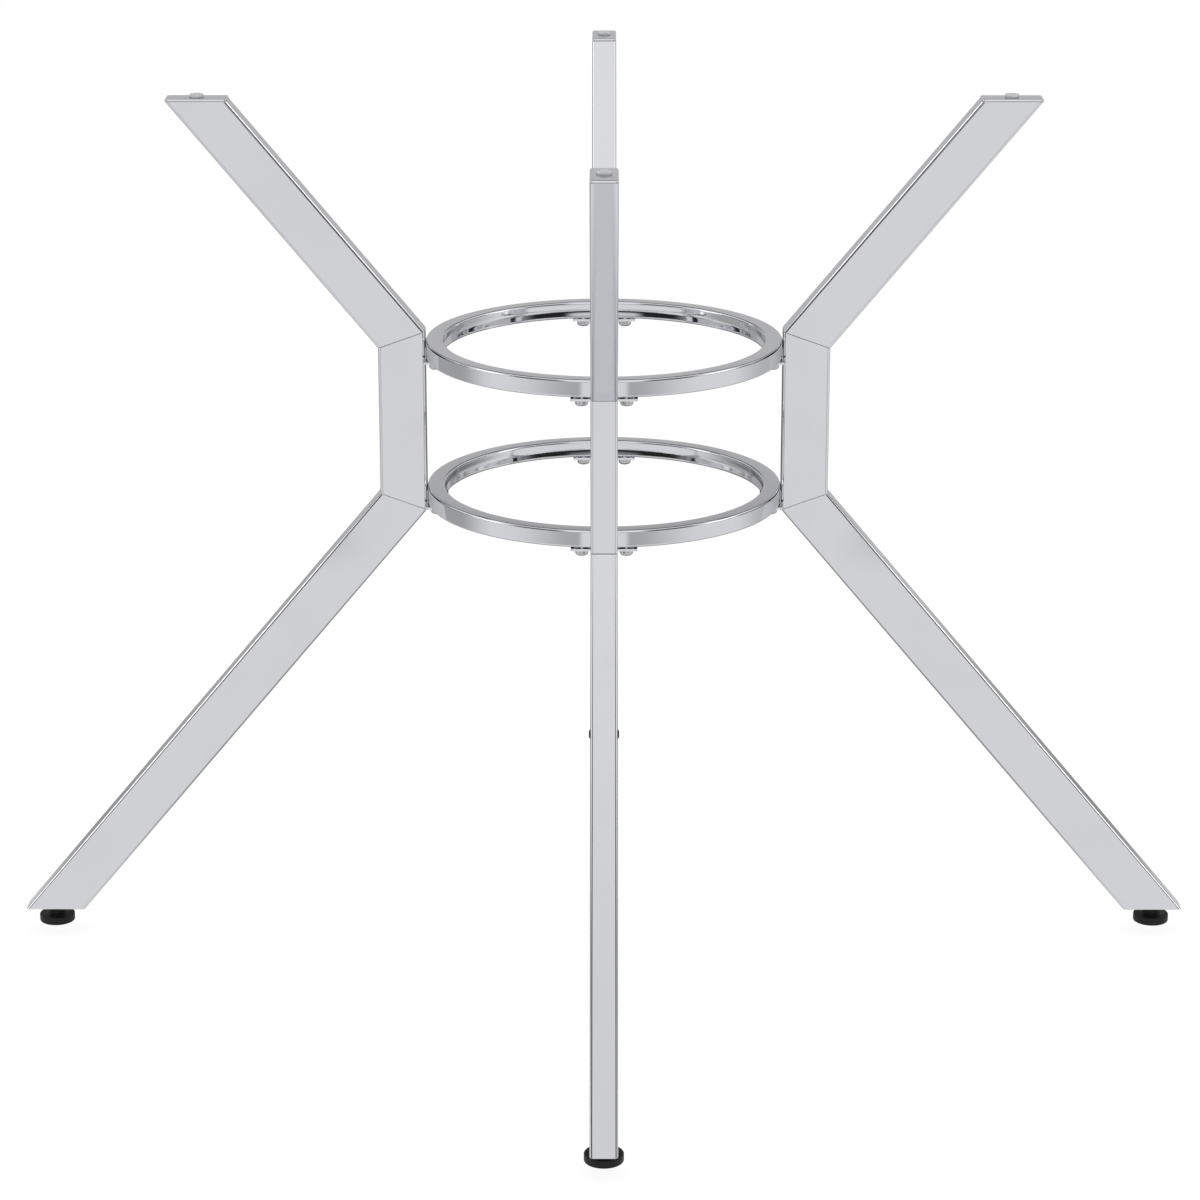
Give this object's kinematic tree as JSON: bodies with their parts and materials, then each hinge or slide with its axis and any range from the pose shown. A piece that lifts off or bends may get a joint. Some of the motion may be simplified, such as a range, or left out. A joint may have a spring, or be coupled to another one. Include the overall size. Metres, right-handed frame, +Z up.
{
  "type": "dining table base",
  "caption": "Free-standing chrome dining table base: cranked rectangular tube legs around stacked rings, with clear pads for a loose top and black levelling feet.",
  "frame": {"origin": "on the floor, on the upright axis through the middle of both rings", "axes": "+Z up along the axis of the rings, -Y towards the front leg, +X towards the right leg"},
  "size_m": [1.0302, 1.0302, 0.7428],
  "materials": {
    "chrome_tube": "bright chrome plate on steel tube",
    "chrome_plate": "bright chrome plate on steel plate",
    "zinc_steel": "zinc plated fasteners",
    "clear_pad": "clear soft bumper",
    "black_foot": "moulded black plastic"
  },
  "bodies": {
    "frame": {"right_upper_arm": "chrome_tube", "right_post": "chrome_tube", "right_lower_leg": "chrome_tube", "right_top_cap": "chrome_plate", "right_foot_plate": "chrome_plate", "right_foot_nut": "zinc_steel", "right_upper_tab": "chrome_plate", "right_lower_tab": "chrome_plate", "right_pad": "clear_pad", "back_upper_arm": "chrome_tube", "back_post": "chrome_tube", "back_lower_leg": "chrome_tube", "back_top_cap": "chrome_plate", "back_foot_plate": "chrome_plate", "back_foot_nut": "zinc_steel", "back_upper_tab": "chrome_plate", "back_lower_tab": "chrome_plate", "back_pad": "clear_pad", "left_upper_arm": "chrome_tube", "left_post": "chrome_tube", "left_lower_leg": "chrome_tube", "left_top_cap": "chrome_plate", "left_foot_plate": "chrome_plate", "left_foot_nut": "zinc_steel", "left_upper_tab": "chrome_plate", "left_lower_tab": "chrome_plate", "left_pad": "clear_pad", "front_upper_arm": "chrome_tube", "front_post": "chrome_tube", "front_lower_leg": "chrome_tube", "front_top_cap": "chrome_plate", "front_foot_plate": "chrome_plate", "front_foot_nut": "zinc_steel", "front_upper_tab": "chrome_plate", "front_lower_tab": "chrome_plate", "front_pad": "clear_pad", "upper_ring": "chrome_tube", "upper_ring_inserts": "zinc_steel", "upper_ring_washers": "zinc_steel", "upper_ring_screws": "zinc_steel", "lower_ring": "chrome_tube", "lower_ring_inserts": "zinc_steel", "lower_ring_washers": "zinc_steel", "lower_ring_screws": "zinc_steel"},
    "right_foot": {"right_foot_base": "black_foot", "right_foot_stud": "zinc_steel"},
    "back_foot": {"back_foot_base": "black_foot", "back_foot_stud": "zinc_steel"},
    "left_foot": {"left_foot_base": "black_foot", "left_foot_stud": "zinc_steel"},
    "front_foot": {"front_foot_base": "black_foot", "front_foot_stud": "zinc_steel"}
  },
  "joints": [
    {"name": "right_foot_level", "type": "slide", "parent": "frame", "child": "right_foot", "axis": [0, 0, -1], "range_m": [0, 0.01]},
    {"name": "back_foot_level", "type": "slide", "parent": "frame", "child": "back_foot", "axis": [0, 0, -1], "range_m": [0, 0.01]},
    {"name": "left_foot_level", "type": "slide", "parent": "frame", "child": "left_foot", "axis": [0, 0, -1], "range_m": [0, 0.01]},
    {"name": "front_foot_level", "type": "slide", "parent": "frame", "child": "front_foot", "axis": [0, 0, -1], "range_m": [0, 0.01]}
  ]
}
